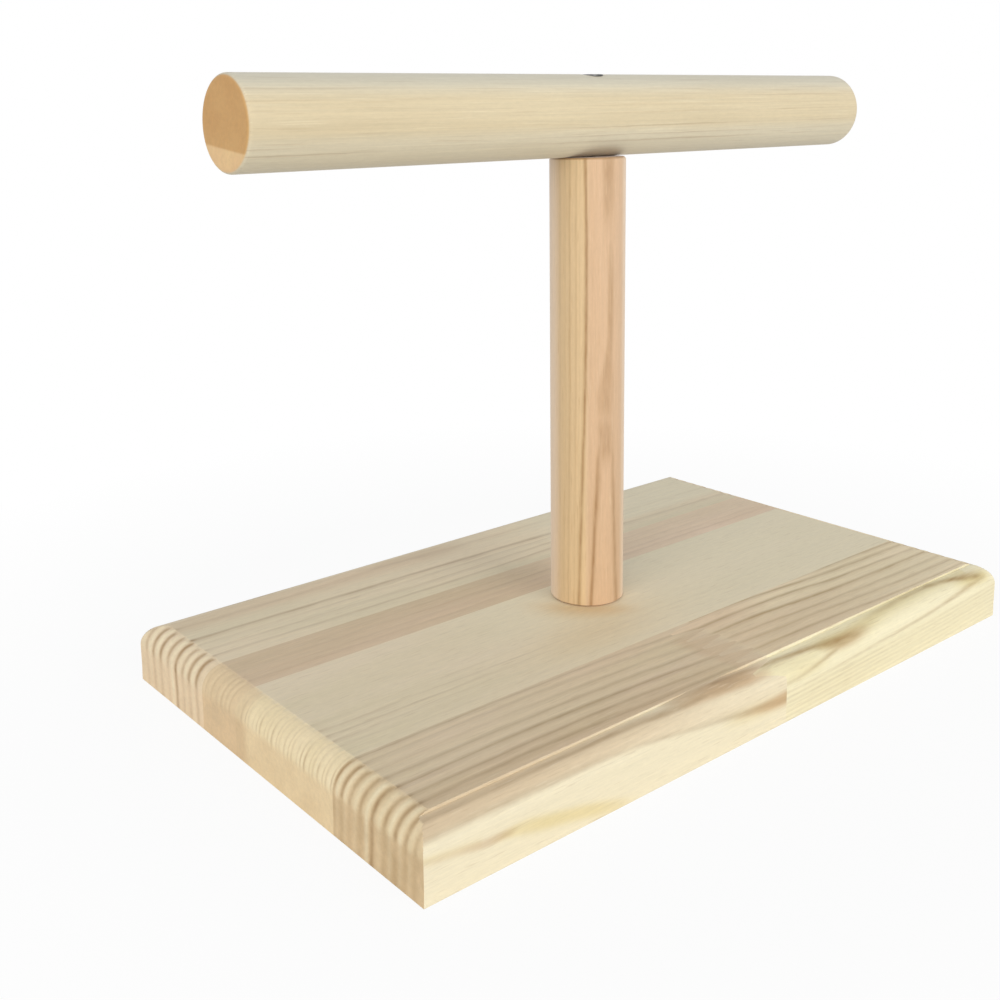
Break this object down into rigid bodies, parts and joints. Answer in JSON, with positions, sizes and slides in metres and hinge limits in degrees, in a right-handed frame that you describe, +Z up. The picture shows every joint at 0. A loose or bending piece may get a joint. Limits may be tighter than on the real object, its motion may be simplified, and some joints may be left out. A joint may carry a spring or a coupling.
{
  "type": "bird training perch",
  "caption": "Small tabletop training perch for a bird: a round wooden crossbar on an upright dowel, standing on a rounded board glued up from pine staves.",
  "frame": {"origin": "centre of the board's underside, straight below the post's axis", "axes": "+X along the crossbar and the board's long side, towards the end that is on the right in the picture; +Y across the board, away from the picture's camera; +Z up"},
  "size_m": [0.2, 0.12, 0.15],
  "materials": {
    "pine_back": "sanded, matt",
    "pine_rose": "sanded, matt",
    "pine_pale": "sanded, matt",
    "pine_front_left": "sanded, matt",
    "pine_front_right": "sanded, matt",
    "pine_post": "sanded, matt",
    "pine_perch": "sanded, matt",
    "screw_steel_upper": "zinc plated",
    "screw_steel_lower": "zinc plated"
  },
  "bodies": {
    "root": {"base_stave_back": "pine_back", "base_stave_middle_back": "pine_rose", "base_stave_middle_front": "pine_pale", "base_stave_front_left": "pine_front_left", "base_stave_front_right": "pine_front_right", "post": "pine_post", "perch": "pine_perch", "perch_screw": "screw_steel_upper", "base_screw": "screw_steel_lower"}
  },
  "joints": []
}
